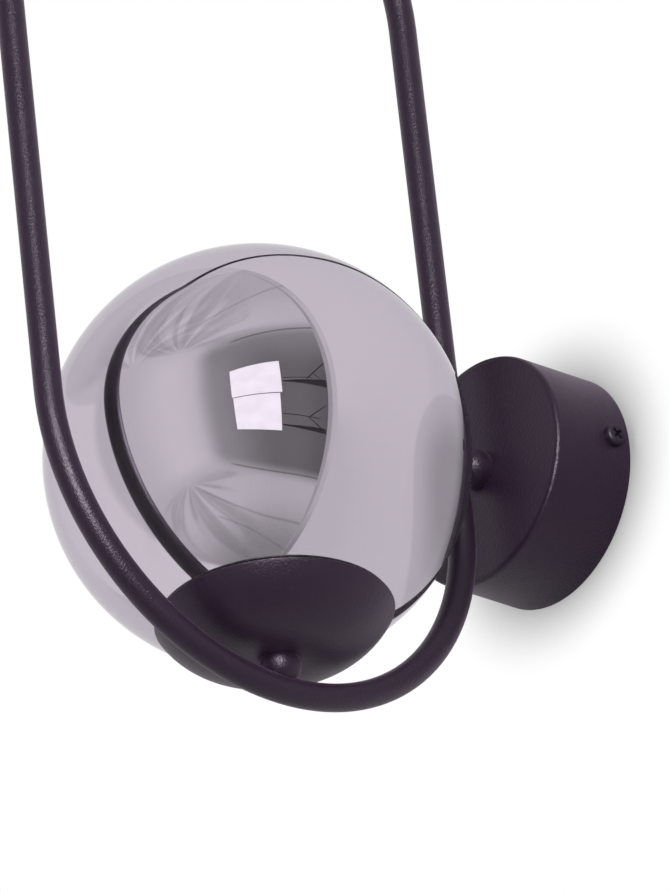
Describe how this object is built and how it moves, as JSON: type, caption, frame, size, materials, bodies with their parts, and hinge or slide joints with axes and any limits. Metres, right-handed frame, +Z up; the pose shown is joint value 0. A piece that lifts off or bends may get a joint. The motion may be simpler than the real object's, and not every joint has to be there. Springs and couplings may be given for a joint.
{
  "type": "wall sconce",
  "caption": "Wall sconce: a round wall rose carries a tall closed loop of round tube, and a shallow bowl on its lower bend holds a smoke-mirrored glass globe over a pin-base lamp.",
  "frame": {"origin": "centre of the wall face, on the rose's axis", "axes": "+X right, +Y into the wall, +Z up; the loop lies in the plane x = 0"},
  "size_m": [0.15, 0.2399, 0.3999],
  "materials": {
    "black_coat": "satin powder coat with a fine grain",
    "black_screw": "satin",
    "zinc_steel": "zinc plated",
    "brass": "plain",
    "tinned_copper": "tinned",
    "spring_contact": "nickelled spring strip",
    "cast_aluminium": "turned",
    "white_plastic": "moulded",
    "ceramic": "glazed ceramic",
    "live_insulation": "brown silicone insulation",
    "neutral_insulation": "blue silicone insulation",
    "earth_insulation": "green and yellow silicone insulation",
    "silicone": "clear silicone",
    "mirrored_glass": "smoke-tinted glass with a half-mirror coat",
    "lamp_glass": "clear",
    "lamp_cap": "moulded",
    "led_board": "white board with phosphor LEDs"
  },
  "bodies": {
    "fixture": {"wall_bracket": "zinc_steel", "earth_screw": "brass", "earth_washer": "brass", "earth_tag": "tinned_copper", "earth_lead": "earth_insulation", "terminal_block": "white_plastic", "terminal_clamps": "brass", "terminal_screws": "zinc_steel", "terminal_fixing_screw": "zinc_steel", "rose_cover": "black_coat", "rose_side_screws": "black_screw", "rose_lock_washer": "zinc_steel", "rose_nut": "zinc_steel", "rose_nipple": "zinc_steel", "rose_ball": "black_coat", "frame_loop": "black_coat", "bowl_ball": "black_coat", "bowl_nipple": "zinc_steel", "bowl_lock_washer": "zinc_steel", "bowl_nut": "zinc_steel", "glass_bowl": "black_coat", "globe_collar": "cast_aluminium", "holder_strap": "zinc_steel", "holder_screws": "zinc_steel", "lamp_holder": "ceramic", "holder_contacts": "spring_contact", "live_lead": "live_insulation", "neutral_lead": "neutral_insulation"},
    "seal": {"globe_gasket": "silicone"},
    "globe": {"globe": "mirrored_glass"},
    "lamp": {"lamp_base": "lamp_cap", "lamp_pins": "tinned_copper", "lamp_envelope": "lamp_glass", "lamp_board": "led_board"}
  },
  "joints": [
    {"name": "globe_turn", "type": "hinge", "parent": "fixture", "child": "seal", "pos_m": [0, -0.139, -0.101], "axis": [0, 0, 1], "range_deg": [0, 540]},
    {"name": "globe_rise", "type": "slide", "parent": "seal", "child": "globe", "axis": [0, 0, 1], "range_m": [0, 0.0046]},
    {"name": "lamp_pull", "type": "slide", "parent": "fixture", "child": "lamp", "axis": [0, 0, 1], "range_m": [0, 0.012]}
  ],
  "couplings": [
    {"joint": "globe_rise", "follows": "globe_turn", "m_per_rad": 0.00047746}
  ]
}
